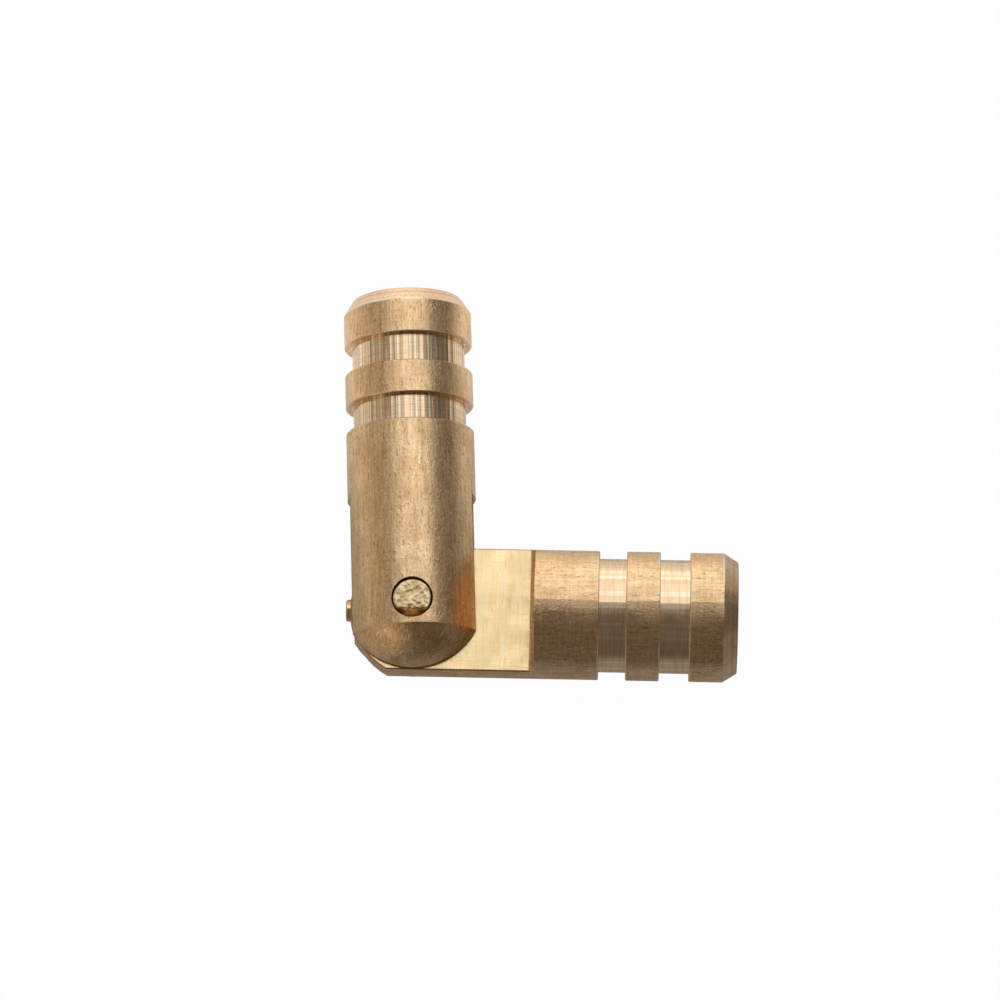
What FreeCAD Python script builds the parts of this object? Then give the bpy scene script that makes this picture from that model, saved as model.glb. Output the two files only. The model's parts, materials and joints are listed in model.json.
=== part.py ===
import FreeCAD, Part
import math
import os

# A barrel hinge that hides in two round holes. A fork barrel and a tongue
# barrel, both turned from brass rod, meet at one plain pin across the fork.
# Lengths are in millimetres and angles in degrees.
# Each barrel is drawn along +X with the pin's axis on the origin, so a place
# along a barrel is its distance from the pin. Both are turned on one profile:
# a ball nose past the pin, a plain body, two grooves, and a chamfered tip.

# Turned profile of both barrels
barrel_diameter = 5.0
pivot_to_tip = 12.5
tip_chamfer_length = 0.55
tip_chamfer_depth = 0.35
outer_land_width = 1.3
outer_groove_width = 1.15
middle_land_width = 1.3
inner_groove_width = 1.05
groove_floor_diameter = 4.4
edge_break = 0.03
nose_crease = 1.0
nose_reach = 2.5

# Fork
slot_width = 1.5
slot_depth = 4.45
fork_pin_clearance = 0.07

# Tongue
tongue_side_clearance = 0.1
shoulder_distance = 4.65
shoulder_fillet = 0.22
cutoff_pip_diameter = 0.85
cutoff_pip_height = 0.14
cutoff_pip_chamfer = 0.05

# Edges where the slot and the tongue's flats come out of the turned surface
milled_edge_break = 0.03

# Pin
pin_diameter = 1.46
pin_recess = 0.1
pin_end_chamfer = 0.08
pin_shear_offset = 0.42
pin_shear_angle = 42.0

# The angle between the barrels as the hinge lies
opening_angle = 93.0

barrel_radius = barrel_diameter / 2
groove_floor_radius = groove_floor_diameter / 2
pin_radius = pin_diameter / 2
tongue_thickness = slot_width - 2 * tongue_side_clearance
pin_length = barrel_diameter - 2 * pin_recess
# Cutting shapes reach this far past the stock, so that they come out of it
overrun = barrel_diameter
# Places nearer than this are the same place
same_place = 1e-6

x_axis = FreeCAD.Vector(1, 0, 0)
y_axis = FreeCAD.Vector(0, 1, 0)
z_axis = FreeCAD.Vector(0, 0, 1)
pivot = FreeCAD.Vector(0, 0, 0)


def in_profile(along, radius):
    """A point of a profile in the XZ plane, at that distance from the barrel's axis."""
    return FreeCAD.Vector(along, 0, radius)


def polyline(points):
    """Straight edges from each point to the next."""
    return [Part.LineSegment(a, b).toShape() for a, b in zip(points, points[1:])]


def step_down(along):
    """Profile points from a barrel's full width down into a groove, with the edge broken."""
    return [
        in_profile(along - edge_break, barrel_radius),
        in_profile(along, barrel_radius - edge_break),
        in_profile(along, groove_floor_radius),
    ]


def step_up(along):
    """Profile points from a groove up to a barrel's full width, with the edge broken."""
    return [
        in_profile(along, groove_floor_radius),
        in_profile(along, barrel_radius - edge_break),
        in_profile(along + edge_break, barrel_radius),
    ]


def lands_and_grooves():
    """Profile points from the end of the body out to the foot of the tip's chamfer."""
    outer_land_end = pivot_to_tip - tip_chamfer_length
    outer_land_start = outer_land_end - outer_land_width
    middle_land_end = outer_land_start - outer_groove_width
    middle_land_start = middle_land_end - middle_land_width
    body_end = middle_land_start - inner_groove_width
    return (
        step_down(body_end)
        + step_up(middle_land_start)
        + step_down(middle_land_end)
        + step_up(outer_land_start)
        + [in_profile(outer_land_end, barrel_radius)]
    )


def barrel_blank():
    """The turning that a barrel starts from.

    The nose is part of a ball: its pole is past the pin, and it meets the body in a crease.
    """
    rise = nose_reach - nose_crease
    ball_radius = (rise**2 + barrel_radius**2) / (2 * rise)
    ball_centre = ball_radius - nose_reach
    half_sweep = math.atan2(barrel_radius, nose_crease + ball_centre) / 2
    nose_middle = in_profile(
        ball_centre - ball_radius * math.cos(half_sweep),
        ball_radius * math.sin(half_sweep),
    )
    pole = in_profile(-nose_reach, 0)
    crease = in_profile(-nose_crease, barrel_radius)
    outline = [crease] + lands_and_grooves()
    outline += [
        in_profile(pivot_to_tip, barrel_radius - tip_chamfer_depth),
        in_profile(pivot_to_tip, 0),
        pole,
    ]
    edges = [Part.Arc(pole, nose_middle, crease).toShape()] + polyline(outline)
    return Part.Face(Part.Wire(edges)).revolve(pivot, x_axis, 360)


def cross_hole(diameter):
    """A cutter through the barrel along the pin's axis."""
    start = FreeCAD.Vector(0, 0, -overrun)
    return Part.makeCylinder(diameter / 2, 2 * overrun, start, z_axis)


def slot_cutter():
    """The slot from past the nose to its root, square across the barrel."""
    corner = FreeCAD.Vector(-nose_reach - overrun, -overrun, -slot_width / 2)
    length = nose_reach + overrun + slot_depth
    return Part.makeBox(length, 2 * overrun, slot_width, corner)


def clean(shape):
    """The one solid of a shape, with leftover seams merged."""
    return shape.removeSplitter().Solids[0]


def with_milled_edges_broken(solid, height, reach):
    """The solid with a small chamfer on the outer edges of its milled faces.

    Those edges lie at that height above and below the barrel's axis, and end at that reach along it.
    """
    outer_edges = []
    for edge in solid.Edges:
        middle = edge.valueAt((edge.FirstParameter + edge.LastParameter) / 2)
        on_milled_face = abs(abs(middle.z) - height) < same_place
        if on_milled_face and middle.x < reach - same_place:
            outer_edges.append(edge)
    return solid.makeChamfer(milled_edge_break, outer_edges)


def fork_barrel():
    """The barrel with a slot through its nose, which leaves two prongs for the pin."""
    slotted = clean(barrel_blank().cut(slot_cutter()))
    hole_diameter = pin_diameter + 2 * fork_pin_clearance
    prongs = with_milled_edges_broken(slotted, slot_width / 2, slot_depth)
    return clean(prongs.cut(cross_hole(hole_diameter)))


def flat_cutter():
    """What is milled off above the tongue, with a fillet where it meets the shoulder."""
    face_height = tongue_thickness / 2
    top = face_height + overrun
    far = -nose_reach - overrun
    fillet_centre = in_profile(
        shoulder_distance - shoulder_fillet, face_height + shoulder_fillet
    )
    fillet_middle = fillet_centre + FreeCAD.Vector(
        shoulder_fillet * math.sqrt(0.5), 0, -shoulder_fillet * math.sqrt(0.5)
    )
    fillet_start = in_profile(shoulder_distance - shoulder_fillet, face_height)
    fillet_end = in_profile(shoulder_distance, face_height + shoulder_fillet)
    edges = polyline(
        [
            fillet_end,
            in_profile(shoulder_distance, top),
            in_profile(far, top),
            in_profile(far, face_height),
            fillet_start,
        ]
    )
    edges.append(Part.Arc(fillet_start, fillet_middle, fillet_end).toShape())
    cutter = Part.Face(Part.Wire(edges)).extrude(y_axis * 2 * overrun)
    cutter.translate(y_axis * -overrun)
    return cutter


def cutoff_pip():
    """The stub that is left on the nose where the turning was cut from its bar."""
    radius = cutoff_pip_diameter / 2
    end = -nose_reach - cutoff_pip_height
    profile = polyline(
        [
            in_profile(-nose_crease, 0),
            in_profile(-nose_crease, radius),
            in_profile(end + cutoff_pip_chamfer, radius),
            in_profile(end, radius - cutoff_pip_chamfer),
            in_profile(end, 0),
            in_profile(-nose_crease, 0),
        ]
    )
    return Part.Face(Part.Wire(profile)).revolve(pivot, x_axis, 360)


def tongue_barrel():
    """The barrel with its nose milled flat on two sides, which leaves the tongue."""
    blank = barrel_blank().fuse(cutoff_pip())
    upper = flat_cutter()
    lower = upper.mirror(pivot, z_axis)
    milled = clean(blank.cut(upper).cut(lower))
    flat_end = shoulder_distance - shoulder_fillet
    tongue = with_milled_edges_broken(milled, tongue_thickness / 2, flat_end)
    return clean(tongue.cut(cross_hole(pin_diameter)))


def pivot_pin():
    """A plain pin cropped from wire: chamfered below, and with a sheared edge on top."""
    bottom = -pin_length / 2
    top = pin_length / 2
    pin = Part.makeCylinder(
        pin_radius, pin_length, FreeCAD.Vector(0, 0, bottom), z_axis
    )
    lower_rim = [e for e in pin.Edges if abs(e.CenterOfMass.z - bottom) < pin_recess]
    pin = pin.makeChamfer(pin_end_chamfer, lower_rim)
    # The shear removes what lies past a plane that slopes down and away from the flat of the end
    shear = Part.makeBox(
        2 * overrun, overrun, overrun, FreeCAD.Vector(-overrun, -overrun, 0)
    )
    shear.rotate(pivot, x_axis, pin_shear_angle)
    shear.translate(FreeCAD.Vector(0, -pin_shear_offset, top))
    return clean(pin.cut(shear))


def lying(shape, turn):
    """The shape turned about the pin's axis and raised so that the barrels lie on z = 0."""
    moved = shape.copy()
    moved.rotate(pivot, z_axis, turn)
    moved.translate(z_axis * barrel_radius)
    return moved


pieces = {
    "fork_barrel": lying(fork_barrel(), opening_angle),
    "tongue_barrel": lying(tongue_barrel(), 0),
    "pivot_pin": lying(pivot_pin(), 0),
}

# The origin is under the middle of the whole hinge as it lies
extent = Part.makeCompound(list(pieces.values())).optimalBoundingBox()
to_middle = FreeCAD.Vector(
    -(extent.XMin + extent.XMax) / 2, -(extent.YMin + extent.YMax) / 2, 0
)

os.makedirs("parts", exist_ok=True)
for name, shape in pieces.items():
    shape.translate(to_middle)
    shape.exportStep("parts/" + name + ".step")
    print(name, "solid valid:", shape.isValid(), "volume mm3:", round(shape.Volume, 3))

print("pin axis at x, y:", round(to_middle.x, 4), round(to_middle.y, 4))
print("size mm:", round(extent.XLength, 3), round(extent.YLength, 3), round(extent.ZLength, 3))
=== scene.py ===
import json
import math

import bpy
import numpy as np
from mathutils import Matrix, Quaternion, Vector


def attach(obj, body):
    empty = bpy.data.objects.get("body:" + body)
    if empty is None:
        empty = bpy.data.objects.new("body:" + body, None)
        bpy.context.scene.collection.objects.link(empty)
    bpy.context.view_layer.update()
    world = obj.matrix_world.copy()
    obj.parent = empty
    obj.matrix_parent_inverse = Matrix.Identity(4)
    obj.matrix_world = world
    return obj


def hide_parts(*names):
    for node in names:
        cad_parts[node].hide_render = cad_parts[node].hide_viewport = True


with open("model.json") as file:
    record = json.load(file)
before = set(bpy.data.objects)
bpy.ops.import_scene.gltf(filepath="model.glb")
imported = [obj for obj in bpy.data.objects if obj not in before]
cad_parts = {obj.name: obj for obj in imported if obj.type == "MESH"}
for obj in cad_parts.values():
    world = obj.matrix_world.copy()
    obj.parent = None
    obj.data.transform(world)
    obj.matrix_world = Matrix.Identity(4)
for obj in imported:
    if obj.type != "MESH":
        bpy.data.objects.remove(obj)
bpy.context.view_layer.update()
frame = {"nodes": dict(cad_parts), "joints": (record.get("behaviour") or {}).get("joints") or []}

# A small brass barrel hinge, lying half open on a white floor.
# Lengths are in metres. The pivot is where the pin's axis crosses the barrels' axes.
mm = 0.001
joint = frame["joints"][0]
pivot = Vector(joint["pos_m"])

# Camera: where it looks from, relative to the pivot
camera_azimuth = math.radians(6.08)
camera_elevation = math.radians(74.90)
camera_roll = math.radians(-4.795)
camera_distance = 200.215 * mm
camera_aim = pivot + Vector((3.2027, 4.5553, 0)) * mm
focal_length = 185.06
sensor_width = 36.0

# Places along a barrel, in millimetres from the pin
nose_crease = -1.0
milled_reach = 4.6
grooves_start = 7.1
grooves_end = 11.0
tip_chamfer = 11.95
land_edges = (7.15, 8.2, 9.5, 10.65, 11.95)
# The groove floors are nearer to the axis than this, in millimetres
groove_floor_limit = 2.26
# Chatter facets to each radian round a groove's floor
chatter_facets = 12.0
# How far the fork barrel is turned from the tongue barrel as the hinge lies
opening = math.radians(93)

# Pin: lengths in millimetres
pin_radius = 0.73
pin_reach = 2.4
pin_chamfer = 0.08
shear_offset = 0.42
shear_angle = math.radians(42)

# Colours of the brass. A pair goes from dark to bright.
turned_brass = ((0.65, 0.39, 0.17), (0.98, 0.67, 0.38))
bright_speck = (1.0, 0.80, 0.55)
dark_fleck = (0.34, 0.19, 0.08)
dull_brass = (0.62, 0.38, 0.18)
groove_brass = ((0.92, 0.65, 0.39), (1.0, 0.83, 0.58))
groove_ring = (0.66, 0.41, 0.22)
chatter_line = (0.3, 0.17, 0.08)
nose_brass = ((0.56, 0.32, 0.14), (0.84, 0.55, 0.29))
bright_scratch = (0.97, 0.74, 0.48)
tip_brass = ((0.70, 0.46, 0.27), (0.87, 0.62, 0.42))
tip_fleck = (0.4, 0.24, 0.11)
milled_brass = ((1.0, 0.68, 0.34), (1.0, 0.77, 0.43))
milled_skip = (0.66, 0.4, 0.15)
# Painted highlight for the edges of the lands
painted_edge_highlight = (0.98, 0.80, 0.58)
# Painted shadow for the gap beside the edges of the milled faces
painted_gap_shadow = (0.22, 0.12, 0.05)
wire_brass = ((0.60, 0.40, 0.18), (0.86, 0.65, 0.38))
wire_speck = (0.3, 0.2, 0.1)
# Painted shade for the pin's sheared side
shear_side_shade = (0.36, 0.22, 0.09)


def add_camera():
    """A long lens that looks steeply down on the hinge."""
    back = Vector(
        (
            math.sin(camera_azimuth) * math.cos(camera_elevation),
            -math.cos(camera_azimuth) * math.cos(camera_elevation),
            math.sin(camera_elevation),
        )
    )
    data = bpy.data.cameras.new("camera")
    data.lens = focal_length
    data.sensor_width = sensor_width
    data.clip_start = 0.1 * camera_distance
    data.clip_end = 100 * camera_distance
    camera = bpy.data.objects.new("camera", data)
    camera.rotation_mode = "QUATERNION"
    level = (-back).to_track_quat("-Z", "Y")
    camera.rotation_quaternion = level @ Quaternion((0, 0, 1), camera_roll)
    camera.location = camera_aim + back * camera_distance
    bpy.context.scene.collection.objects.link(camera)
    bpy.context.scene.camera = camera


def add_area_lamp(name, direction, distance, size, strength, colour):
    """A rectangular lamp in that direction from the hinge, facing it. Strength is its radiance."""
    data = bpy.data.lights.new(name, "AREA")
    data.shape = "RECTANGLE"
    data.size, data.size_y = size
    data.energy = strength * math.pi * size[0] * size[1]
    data.color = colour
    lamp = bpy.data.objects.new(name, data)
    towards = Vector(direction).normalized()
    lamp.location = towards * distance
    lamp.rotation_mode = "QUATERNION"
    lamp.rotation_quaternion = towards.to_track_quat("Z", "Y")
    lamp.visible_camera = False
    bpy.context.scene.collection.objects.link(lamp)


def link(tree, *pairs):
    """Links each pair of an output and an input."""
    for output, inlet in pairs:
        tree.links.new(output, inlet)


def feed(tree, inlets, values):
    """Gives each inlet a socket's output or a constant."""
    for inlet, value in zip(inlets, values):
        if isinstance(value, bpy.types.NodeSocket):
            tree.links.new(value, inlet)
        else:
            inlet.default_value = value


def calc(tree, operation, *values):
    """The result of one Math node."""
    node = tree.nodes.new("ShaderNodeMath")
    node.operation = operation
    feed(tree, node.inputs, values)
    return node.outputs[0]


def product(tree, *values):
    """The product of two or more values."""
    result = values[0]
    for value in values[1:]:
        result = calc(tree, "MULTIPLY", result, value)
    return result


def weighted(tree, share, first, second):
    """That share of the first value and the rest of the second."""
    return calc(tree, "ADD", product(tree, first, share), product(tree, second, 1 - share))


def vector_calc(tree, operation, *values):
    """The result of one Vector Math node."""
    node = tree.nodes.new("ShaderNodeVectorMath")
    node.operation = operation
    feed(tree, node.inputs, values)
    return node.outputs["Vector"]


def between(tree, value, start, end, low=0.0, high=1.0):
    """Goes smoothly from low to high while the value goes from start to end."""
    node = tree.nodes.new("ShaderNodeMapRange")
    node.interpolation_type = "SMOOTHSTEP"
    feed(tree, node.inputs[:5], (value, start, end, low, high))
    return node.outputs[0]


def mixed(tree, amount, first, second):
    """A colour that goes from the first to the second."""
    node = tree.nodes.new("ShaderNodeMix")
    node.data_type = "RGBA"
    colours = [
        value if isinstance(value, bpy.types.NodeSocket) else (*value, 1)
        for value in (first, second)
    ]
    feed(tree, (node.inputs[0], node.inputs[6], node.inputs[7]), [amount] + colours)
    return node.outputs[2]


def noise(tree, place, scale, detail, roughness):
    """Noise stretched by a scale along each axis, from 0 to 1."""
    node = tree.nodes.new("ShaderNodeTexNoise")
    node.inputs["Scale"].default_value = 1
    node.inputs["Detail"].default_value = detail
    node.inputs["Roughness"].default_value = roughness
    link(tree, (vector_calc(tree, "MULTIPLY", place, scale), node.inputs["Vector"]))
    return node.outputs[0]


def add_floor():
    """A white floor that keeps a faint shadow.

    In reflections it carries painted light and shadow: dim to the right and in front, and less so at
    the left end of the front.
    """
    half = 0.6
    mesh = bpy.data.meshes.new("floor")
    mesh.from_pydata(
        [(-half, -half, 0), (half, -half, 0), (half, half, 0), (-half, half, 0)],
        [],
        [(0, 1, 2, 3)],
    )
    floor = bpy.data.objects.new("floor", mesh)
    bpy.context.scene.collection.objects.link(floor)
    material = bpy.data.materials.new("white_floor")
    material.use_nodes = True
    tree = material.node_tree
    tree.nodes.clear()
    out = tree.nodes.new("ShaderNodeOutputMaterial")
    mix = tree.nodes.new("ShaderNodeMixShader")
    white = tree.nodes.new("ShaderNodeBsdfDiffuse")
    white.inputs["Color"].default_value = (0.9, 0.9, 0.9, 1)
    glow = tree.nodes.new("ShaderNodeEmission")
    ray = tree.nodes.new("ShaderNodeLightPath")
    place = tree.nodes.new("ShaderNodeTexCoord")
    split = tree.nodes.new("ShaderNodeSeparateXYZ")
    link(tree, (place.outputs["Object"], split.inputs[0]))
    x, y = split.outputs["X"], split.outputs["Y"]
    # Painted light and shadow: how bright the floor looks in the metal, by place
    front = between(tree, y, -26 * mm, -8 * mm, 0.06, 0.3)
    front_left = between(tree, x, -6 * mm, -10 * mm, 0, 0.42)
    front = calc(tree, "MAXIMUM", front, front_left)
    side = between(tree, x, 6 * mm, 30 * mm, 1.0, 0.35)
    behind = product(tree, between(tree, y, -10 * mm, 10 * mm), side)
    reflected = calc(tree, "MAXIMUM", front, behind)
    in_reflection = product(tree, ray.outputs["Is Glossy Ray"], reflected)
    strength = calc(tree, "ADD", ray.outputs["Is Camera Ray"], in_reflection)
    in_view = product(tree, ray.outputs["Is Camera Ray"], 0.975)
    glossy_share = product(tree, ray.outputs["Is Glossy Ray"], 0.9)
    share = calc(tree, "ADD", in_view, glossy_share)
    link(
        tree,
        (strength, glow.inputs["Strength"]),
        (share, mix.inputs["Fac"]),
        (white.outputs[0], mix.inputs[1]),
        (glow.outputs[0], mix.inputs[2]),
        (mix.outputs[0], out.inputs["Surface"]),
    )
    mesh.materials.append(material)


def set_world():
    """A dim warm room, white where the camera looks past the floor."""
    world = bpy.data.worlds.new("studio")
    bpy.context.scene.world = world
    world.use_nodes = True
    tree = world.node_tree
    tree.nodes.clear()
    out = tree.nodes.new("ShaderNodeOutputWorld")
    room = tree.nodes.new("ShaderNodeBackground")
    room.inputs["Color"].default_value = (0.125, 0.112, 0.1, 1)
    white = tree.nodes.new("ShaderNodeBackground")
    mix = tree.nodes.new("ShaderNodeMixShader")
    ray = tree.nodes.new("ShaderNodeLightPath")
    link(
        tree,
        (ray.outputs["Is Camera Ray"], mix.inputs["Fac"]),
        (room.outputs[0], mix.inputs[1]),
        (white.outputs[0], mix.inputs[2]),
        (mix.outputs[0], out.inputs["Surface"]),
    )


def new_group(name, inlets, outlets):
    """An empty node group with those sockets, and its input and output nodes."""
    tree = bpy.data.node_groups.new(name, "ShaderNodeTree")
    for label, kind in inlets:
        tree.interface.new_socket(label, in_out="INPUT", socket_type="NodeSocket" + kind)
    for label, kind in outlets:
        tree.interface.new_socket(label, in_out="OUTPUT", socket_type="NodeSocket" + kind)
    return tree, tree.nodes.new("NodeGroupInput"), tree.nodes.new("NodeGroupOutput")


def use_group(tree, group, *values):
    """The outputs of that node group, fed with those values in the order of its inputs."""
    node = tree.nodes.new("ShaderNodeGroup")
    node.node_tree = group
    feed(tree, node.inputs, values)
    return node.outputs


def barrel_place_group():
    """Where a point is on a barrel, in millimetres: along its axis from the pin, and out from it."""
    tree, given, result = new_group(
        "barrel_place",
        [("Turn", "Float")],
        [("Place", "Vector"), ("Along", "Float"), ("Radius", "Float"), ("Across", "Vector")],
    )
    here = tree.nodes.new("ShaderNodeTexCoord").outputs["Object"]
    from_pivot = vector_calc(tree, "SUBTRACT", here, tuple(pivot))
    turned = tree.nodes.new("ShaderNodeVectorRotate")
    turned.rotation_type = "Z_AXIS"
    link(tree, (from_pivot, turned.inputs["Vector"]), (given.outputs["Turn"], turned.inputs["Angle"]))
    place = vector_calc(tree, "MULTIPLY", turned.outputs[0], (1 / mm, 1 / mm, 1 / mm))
    across = vector_calc(tree, "MULTIPLY", place, (0, 1, 1))
    size = tree.nodes.new("ShaderNodeVectorMath")
    size.operation = "LENGTH"
    split = tree.nodes.new("ShaderNodeSeparateXYZ")
    around = vector_calc(tree, "NORMALIZE", across)
    link(
        tree,
        (across, size.inputs[0]),
        (place, split.inputs[0]),
        (place, result.inputs["Place"]),
        (split.outputs["X"], result.inputs["Along"]),
        (size.outputs["Value"], result.inputs["Radius"]),
        (around, result.inputs["Across"]),
    )
    return tree


def metal_marks_group():
    """Marks of drawing, turning and handling on brass, from a place in millimetres."""
    tree, given, result = new_group(
        "metal_marks",
        [("Place", "Vector")],
        [
            ("Drawn lines", "Float"),
            ("Turned lines", "Float"),
            ("Specks", "Float"),
            ("Flecks", "Float"),
            ("Clouds", "Float"),
            ("Scratches", "Float"),
        ],
    )
    place = given.outputs["Place"]
    fine = noise(tree, place, (0.9, 13, 13), 3, 0.6)
    coarse = noise(tree, place, (0.25, 4, 4), 2, 0.5)
    drawn = weighted(tree, 0.7, fine, coarse)
    rings = noise(tree, place, (14, 0.8, 0.8), 3, 0.6)
    specks = between(tree, noise(tree, place, (8, 11, 11), 2, 0.6), 0.52, 0.66)
    flecks = between(tree, noise(tree, place, (4.5, 12, 12), 2, 0.6), 0.56, 0.68)
    clouds = noise(tree, place, (0.9, 1.2, 1.2), 3, 0.5)
    tilted = tree.nodes.new("ShaderNodeVectorRotate")
    tilted.rotation_type = "Z_AXIS"
    tilted.inputs["Angle"].default_value = 0.6
    link(tree, (place, tilted.inputs["Vector"]))
    scratch = noise(tree, tilted.outputs[0], (0.9, 18, 4), 2, 0.5)
    scratches = between(tree, scratch, 0.6, 0.72)
    link(
        tree,
        (drawn, result.inputs["Drawn lines"]),
        (rings, result.inputs["Turned lines"]),
        (specks, result.inputs["Specks"]),
        (flecks, result.inputs["Flecks"]),
        (clouds, result.inputs["Clouds"]),
        (scratches, result.inputs["Scratches"]),
    )
    return tree


def chatter_group():
    """Shallow facets round a groove's floor, left by a chattering tool, and the lines between."""
    tree, given, result = new_group(
        "tool_chatter",
        [("Across", "Vector"), ("Facets", "Float")],
        [("Height", "Float"), ("Tone", "Float"), ("Lines", "Float")],
    )
    scaled = tree.nodes.new("ShaderNodeVectorMath")
    scaled.operation = "SCALE"
    cells = tree.nodes.new("ShaderNodeTexVoronoi")
    cells.feature = "F1"
    cells.inputs["Scale"].default_value = 1
    link(
        tree,
        (given.outputs["Across"], scaled.inputs[0]),
        (given.outputs["Facets"], scaled.inputs["Scale"]),
        (scaled.outputs[0], cells.inputs["Vector"]),
    )
    tone = tree.nodes.new("ShaderNodeSeparateColor")
    link(tree, (cells.outputs["Color"], tone.inputs[0]))
    borders = tree.nodes.new("ShaderNodeTexVoronoi")
    borders.feature = "DISTANCE_TO_EDGE"
    borders.inputs["Scale"].default_value = 1
    link(tree, (scaled.outputs[0], borders.inputs["Vector"]))
    height = calc(tree, "POWER", cells.outputs["Distance"], 2.0)
    lines = between(tree, borders.outputs["Distance"], 0.02, 0.09, 1, 0)
    link(
        tree,
        (height, result.inputs["Height"]),
        (tone.outputs[0], result.inputs["Tone"]),
        (lines, result.inputs["Lines"]),
    )
    return tree


def edge_light_group():
    """Painted highlights along the edges of a barrel's lands, in patches that follow the noise."""
    tree, given, result = new_group(
        "painted_edge_highlights", [("Along", "Float"), ("Radius", "Float"), ("Noise", "Float")], [("Mask", "Float")]
    )
    ramp = tree.nodes.new("ShaderNodeValToRGB")
    longest = 13.0
    edge_spread = 0.07
    stops = ramp.color_ramp.elements
    stops[0].color = (0, 0, 0, 1)
    stops[1].color = (0, 0, 0, 1)
    for station in land_edges:
        for shift, level in ((-edge_spread, 0), (0, 1), (edge_spread, 0)):
            stop = stops.new((station + shift) / longest)
            stop.color = (level, level, level, 1)
    outside = between(tree, given.outputs["Radius"], 2.38, 2.46)
    position = calc(tree, "DIVIDE", given.outputs["Along"], longest)
    link(tree, (position, ramp.inputs[0]))
    ragged = between(tree, given.outputs["Noise"], 0.35, 0.6)
    link(tree, (product(tree, ramp.outputs[0], outside, ragged), result.inputs["Mask"]))
    return tree


def new_material(name):
    """A metal material, with its node tree and its shader."""
    material = bpy.data.materials.new(name)
    material.use_nodes = True
    shader = material.node_tree.nodes["Principled BSDF"]
    shader.inputs["Metallic"].default_value = 1
    return material, material.node_tree, shader


def add_bump(tree, shader, surface, depth):
    """Bumps the shader's surface by that height field, times that depth in millimetres."""
    bump = tree.nodes.new("ShaderNodeBump")
    bump.inputs["Strength"].default_value = 1
    bump.inputs["Distance"].default_value = depth * mm
    link(tree, (surface, bump.inputs["Height"]), (bump.outputs[0], shader.inputs["Normal"]))


def milled_mask(tree, normal, milled_height):
    """Where the milled faces are, and how far a point is above or below the axis, in millimetres.

    It uses no node group, because the mask also steers the tangent.
    """
    facing = tree.nodes.new("ShaderNodeSeparateXYZ")
    height = tree.nodes.new("ShaderNodeSeparateXYZ")
    here = tree.nodes.new("ShaderNodeTexCoord").outputs["Object"]
    link(tree, (normal, facing.inputs[0]), (here, height.inputs[0]))
    upright = calc(tree, "ABSOLUTE", facing.outputs["Z"])
    above_axis = calc(tree, "SUBTRACT", height.outputs["Z"], pivot.z)
    off_axis = calc(tree, "ABSOLUTE", calc(tree, "DIVIDE", above_axis, mm))
    near_milled = calc(tree, "LESS_THAN", off_axis, milled_height + 0.02)
    return product(tree, near_milled, between(tree, upright, 0.9, 0.97)), off_axis


def groove_mask(tree, along, radius):
    """Where the groove floors are."""
    deep = calc(tree, "LESS_THAN", radius, groove_floor_limit)
    past_body = calc(tree, "GREATER_THAN", along, grooves_start)
    short_of_tip = calc(tree, "LESS_THAN", along, grooves_end)
    return product(tree, deep, past_body, short_of_tip)


def gap_shadow_mask(tree, along, off_axis, milled, rim_height):
    """A painted shadow line on the turned surface, beside the edges of the milled faces, where the gap
    between the barrels is shaded.
    """
    from_rim = calc(tree, "ABSOLUTE", calc(tree, "SUBTRACT", off_axis, rim_height))
    beside = between(tree, from_rim, 0.06, 0.02, 0, 0.75)
    reached = calc(tree, "LESS_THAN", along, milled_reach)
    return product(tree, beside, reached, calc(tree, "SUBTRACT", 1.0, milled))


def turned_colour(tree, lines, marks):
    """Lines with bright specks, dark flecks and dull clouds."""
    colour = mixed(tree, between(tree, lines, 0.32, 0.68), *turned_brass)
    colour = mixed(tree, product(tree, marks["Specks"], 0.55), colour, bright_speck)
    colour = mixed(tree, product(tree, marks["Flecks"], 0.55), colour, dark_fleck)
    return mixed(tree, between(tree, marks["Clouds"], 0.42, 0.68, 0, 0.3), colour, dull_brass)


def groove_floor_colour(tree, marks, chatter, chatter_share):
    """Facets of different tone, with rings round the barrel and dark lines between the facets."""
    colour = mixed(tree, between(tree, chatter["Tone"], 0.2, 0.8), *groove_brass)
    rings = between(tree, marks["Turned lines"], 0.35, 0.6, 0.5, 0)
    colour = mixed(tree, rings, colour, groove_ring)
    dark_lines = product(tree, chatter["Lines"], 0.6 * chatter_share)
    return mixed(tree, dark_lines, colour, chatter_line)


def nose_colour(tree, marks):
    """Dark drawn brass with bright scratches."""
    colour = mixed(tree, between(tree, marks["Drawn lines"], 0.35, 0.65), *nose_brass)
    return mixed(tree, marks["Scratches"], colour, bright_scratch)


def tip_colour(tree, radius, marks):
    """Rings round the end face, with dark flecks."""
    outward = tree.nodes.new("ShaderNodeCombineXYZ")
    link(tree, (radius, outward.inputs[0]))
    rings = noise(tree, outward.outputs[0], (13, 1, 1), 3, 0.6)
    colour = mixed(tree, between(tree, rings, 0.35, 0.65), *tip_brass)
    return mixed(tree, product(tree, marks["Flecks"], 0.4), colour, tip_fleck)


def milled_face_colour(tree, place, marks):
    """Milling lines across the barrel, and dull lines where the cutter skipped."""
    colour = mixed(tree, between(tree, marks["Turned lines"], 0.35, 0.62), *milled_brass)
    skips = between(tree, noise(tree, place, (15, 1.3, 1.3), 2, 0.6), 0.6, 0.7, 0, 0.45)
    return mixed(tree, skips, colour, milled_skip)


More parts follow.
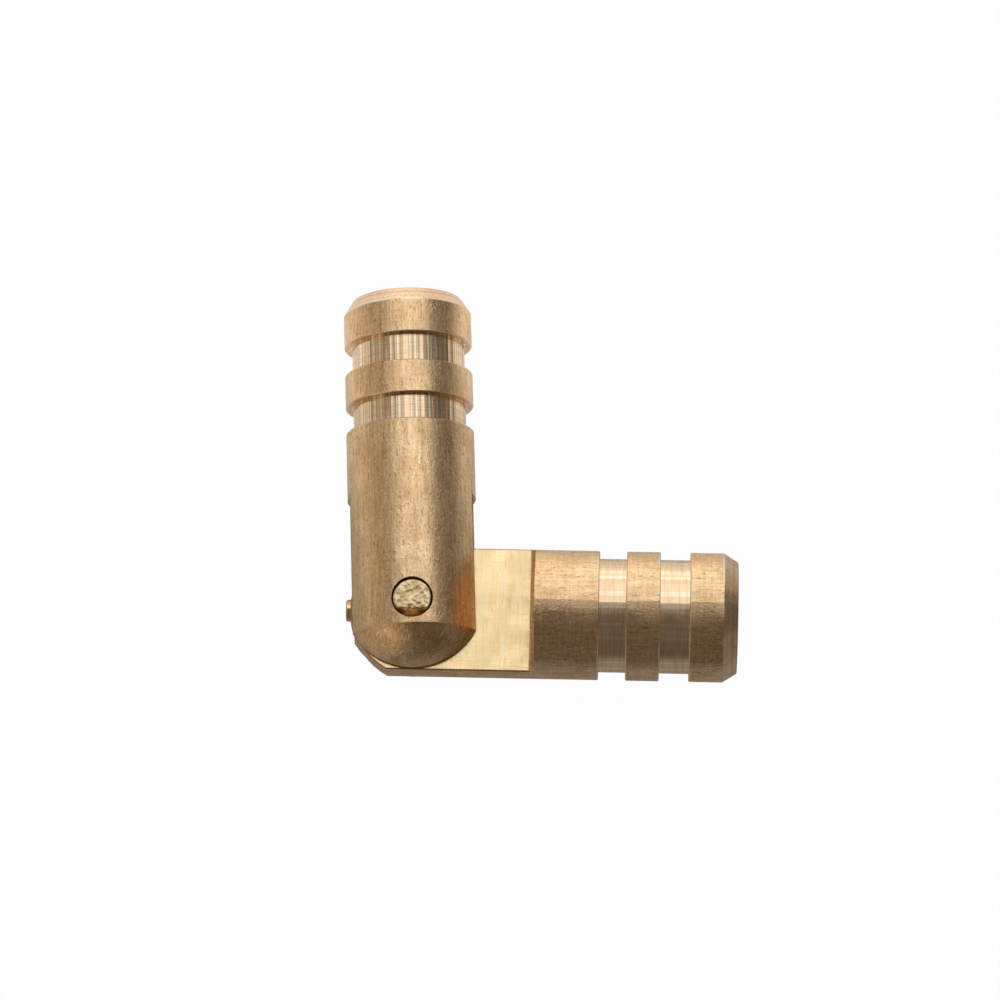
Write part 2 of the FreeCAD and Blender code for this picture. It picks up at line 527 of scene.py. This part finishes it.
def spread_light(tree, shader, normal, milled, turn):
    """Spreads light across the lines: round turned surfaces, and along the barrel on milled faces."""
    axis = tree.nodes.new("ShaderNodeVectorTransform")
    axis.vector_type = "VECTOR"
    axis.convert_from = "OBJECT"
    axis.convert_to = "WORLD"
    axis.inputs[0].default_value = (math.cos(turn), math.sin(turn), 0)
    # An end face has no direction round the axis, so a small constant gives it one
    round_axis = vector_calc(tree, "CROSS_PRODUCT", normal, axis.outputs[0])
    round_axis = vector_calc(tree, "ADD", round_axis, (0.004, 0.006, 0.03))
    swap = tree.nodes.new("ShaderNodeMix")
    swap.data_type = "VECTOR"
    link(
        tree,
        (milled, swap.inputs[0]),
        (round_axis, swap.inputs[4]),
        (axis.outputs[0], swap.inputs[5]),
        (swap.outputs[1], shader.inputs["Tangent"]),
    )
    shader.inputs["Anisotropic"].default_value = 0.75


def barrel_material(name, turn, drawn_share, milled_height, rim_height, chatter_share):
    """Turned brass. It differs on the lands, groove floors, nose, milled faces and tip.

    The milled faces lie at that height above and below the axis, and the painted shadow line
    beside their edges at the rim height, in millimetres.
    """
    material, tree, shader = new_material(name)
    spot = use_group(tree, groups["place"], -turn)
    place, along, radius = spot["Place"], spot["Along"], spot["Radius"]
    marks = use_group(tree, groups["marks"], place)
    chatter = use_group(tree, groups["chatter"], spot["Across"], chatter_facets)
    edges = use_group(tree, groups["edges"], along, radius, marks["Clouds"])
    normal = tree.nodes.new("ShaderNodeNewGeometry").outputs["Normal"]
    lines = weighted(tree, drawn_share, marks["Drawn lines"], marks["Turned lines"])

    groove = groove_mask(tree, along, radius)
    nose = between(tree, along, nose_crease + 0.05, nose_crease - 0.05)
    tip = between(tree, along, tip_chamfer - 0.02, tip_chamfer + 0.02)
    milled, off_axis = milled_mask(tree, normal, milled_height)
    gap_shadow = gap_shadow_mask(tree, along, off_axis, milled, rim_height)

    colour = turned_colour(tree, lines, marks)
    zones = (
        (groove, groove_floor_colour(tree, marks, chatter, chatter_share)),
        (nose, nose_colour(tree, marks)),
        (tip, tip_colour(tree, radius, marks)),
        (milled, milled_face_colour(tree, place, marks)),
        # painted highlight on the edges of the lands
        (edges["Mask"], painted_edge_highlight),
        # painted shadow in the gap beside the milled edges
        (gap_shadow, painted_gap_shadow),
    )
    for mask, zone_colour in zones:
        colour = mixed(tree, mask, colour, zone_colour)
    link(tree, (colour, shader.inputs["Base Color"]))

    rough = between(tree, marks["Clouds"], 0.3, 0.7, 0.25, 0.34)
    rough = calc(tree, "SUBTRACT", rough, product(tree, groove, 0.07))
    link(tree, (rough, shader.inputs["Roughness"]))
    spread_light(tree, shader, normal, milled, turn)

    grain = calc(tree, "SUBTRACT", marks["Specks"], marks["Flecks"])
    smooth = calc(tree, "MAXIMUM", groove, milled)
    grain = product(tree, grain, 0.6, calc(tree, "SUBTRACT", 1.0, smooth))
    dips = product(tree, chatter["Height"], 5.0 * chatter_share, groove)
    surface = calc(tree, "ADD", calc(tree, "ADD", lines, grain), dips)
    add_bump(tree, shader, surface, 0.004)
    return material


def shear_drop(x, y):
    """How far the pin's upper face lies below its flat end at (x, y) from the axis, in mm.

    The face follows the plane of the shear cut past the lip, and elsewhere shallow dents, each
    a bowl round its own centre: depth = 0.011 (1 - (d / 0.13)^2), where d is the distance.
    """
    chance = np.random.default_rng(7)
    dent_count = 90
    dent_depth = 0.011
    dent_radius = 0.13
    ragged_lip = shear_offset + 0.02 * np.sin(9 * x + 1) + 0.012 * np.sin(23 * x)
    cut = np.maximum(0, -y - ragged_lip) * math.tan(shear_angle)
    dents = np.zeros_like(x)
    for centre_x, centre_y in chance.uniform(-0.75, 0.75, (dent_count, 2)):
        nearness = 1 - ((x - centre_x) ** 2 + (y - centre_y) ** 2) / dent_radius**2
        dents = np.maximum(dents, dent_depth * nearness)
    out = np.hypot(x, y) / pin_radius
    worn_rim = 0.03 * np.clip((out - 0.9) / 0.1, 0, 1) ** 2
    return cut + dents + worn_rim


def add_pin():
    """The pin as one closed skin of rings: a cropped, dented upper end, a wall and a lower chamfer."""
    columns = 120
    upper_rings = 34
    wall_rings = 13
    angles = np.linspace(0, 2 * math.pi, columns, endpoint=False)
    radii = pin_radius * np.sin(np.linspace(0.04, math.pi / 2, upper_rings))
    x = np.outer(radii, np.cos(angles))
    y = np.outer(radii, np.sin(angles))
    upper = np.dstack((x, y, pin_reach - shear_drop(x, y)))
    rim = upper[-1]
    wall_foot = pin_chamfer - pin_reach
    wall = []
    for share in np.linspace(0, 1, wall_rings + 1)[1:]:
        ring = rim.copy()
        ring[:, 2] = rim[:, 2] * (1 - share) + wall_foot * share
        wall.append(ring)
    foot_radii = (pin_radius - pin_chamfer, 0.4, 0.15)
    foot = []
    for radius in foot_radii:
        flat = np.full(columns, -pin_reach)
        foot.append(np.column_stack((radius * np.cos(angles), radius * np.sin(angles), flat)))
    rings = np.concatenate((upper, np.array(wall), np.array(foot)))
    middle = pin_reach - shear_drop(np.zeros(1), np.zeros(1))[0]
    points = np.concatenate((rings.reshape(-1, 3), [[0, 0, middle], [0, 0, -pin_reach]]))
    first = np.arange(columns)
    following = (first + 1) % columns
    faces = []
    for row in range(len(rings) - 1):
        here, there = row * columns, (row + 1) * columns
        faces += np.column_stack(
            (here + first, there + first, there + following, here + following)
        ).tolist()
    top, bottom = len(points) - 2, len(points) - 1
    last = (len(rings) - 1) * columns
    faces += [(top, a, b) for a, b in zip(first.tolist(), following.tolist())]
    faces += [(bottom, last + b, last + a) for a, b in zip(first.tolist(), following.tolist())]
    mesh = bpy.data.meshes.new("cropped_pin")
    mesh.from_pydata((points * mm + np.array(pivot)).tolist(), [], faces)
    mesh.shade_smooth()
    mesh.set_sharp_from_angle(angle=math.radians(28))
    pin = bpy.data.objects.new("cropped_pin", mesh)
    bpy.context.scene.collection.objects.link(pin)
    mesh.materials.append(finishes["pivot_pin"])
    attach(pin, "tongue")
    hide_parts("pivot_pin")


def pin_material(name):
    """The pin's cropped wire end: pale, hammered flat, with dark specks and painted shade on its
    sheared side.
    """
    material, tree, shader = new_material(name)
    place = use_group(tree, groups["place"], 0.0)["Place"]
    dents = noise(tree, place, (4.5, 4.5, 4.5), 3, 0.55)
    specks = between(tree, noise(tree, place, (10, 10, 10), 2, 0.6), 0.60, 0.68)
    height = tree.nodes.new("ShaderNodeSeparateXYZ")
    link(tree, (place, height.inputs[0]))
    sheared = between(tree, height.outputs["Z"], pin_reach - 0.03, pin_reach - 0.09)
    colour = mixed(tree, between(tree, dents, 0.35, 0.65), *wire_brass)
    colour = mixed(tree, product(tree, specks, 0.7), colour, wire_speck)
    # Painted shade darkens the sheared side
    colour = mixed(tree, sheared, colour, shear_side_shade)
    link(tree, (colour, shader.inputs["Base Color"]))
    add_bump(tree, shader, dents, 0.02)
    shader.inputs["Roughness"].default_value = 0.3
    return material


bpy.context.scene.view_settings.view_transform = "Standard"
add_camera()
add_floor()
set_world()
# Each lamp has a name, a direction from the hinge, a distance, a size, a strength and a colour
for lamp in (
    ("key", (0.03, 0.585, 0.811), 0.3, (0.39, 0.308), 1.16, (0.94, 1.0, 1.08)),
    ("back", (0, 0.97, 0.22), 0.4, (0.5, 0.16), 1.35, (1, 1, 1)),
    ("left", (-0.93, 0.12, 0.34), 0.3, (0.3, 0.24), 0.34, (1, 0.89, 0.77)),
    ("front_left", (-0.66, -0.72, 0.26), 0.3, (0.3, 0.2), 0.55, (1, 0.9, 0.78)),
    ("back_right", (0.72, 0.68, 0.12), 0.35, (0.2, 0.1), 0.55, (1, 0.93, 0.84)),
    ("front_right", (0.86, -0.5, 0.06), 0.35, (0.14, 0.07), 0.35, (1, 0.9, 0.8)),
):
    add_area_lamp(*lamp)

groups = {
    "place": barrel_place_group(),
    "marks": metal_marks_group(),
    "chatter": chatter_group(),
    "edges": edge_light_group(),
}
finishes = {
    "fork_barrel": barrel_material(
        "fork_turned_brass",
        turn=opening,
        drawn_share=0.8,
        milled_height=0.75,
        rim_height=0.78,
        chatter_share=1.0,
    ),
    "tongue_barrel": barrel_material(
        "tongue_turned_brass",
        turn=0.0,
        drawn_share=0.65,
        milled_height=0.65,
        rim_height=0.63,
        chatter_share=0.15,
    ),
    "pivot_pin": pin_material("cropped_pin_brass"),
}
for name, node in frame["nodes"].items():
    for slot in node.material_slots:
        slot.material = finishes[name]
add_pin()
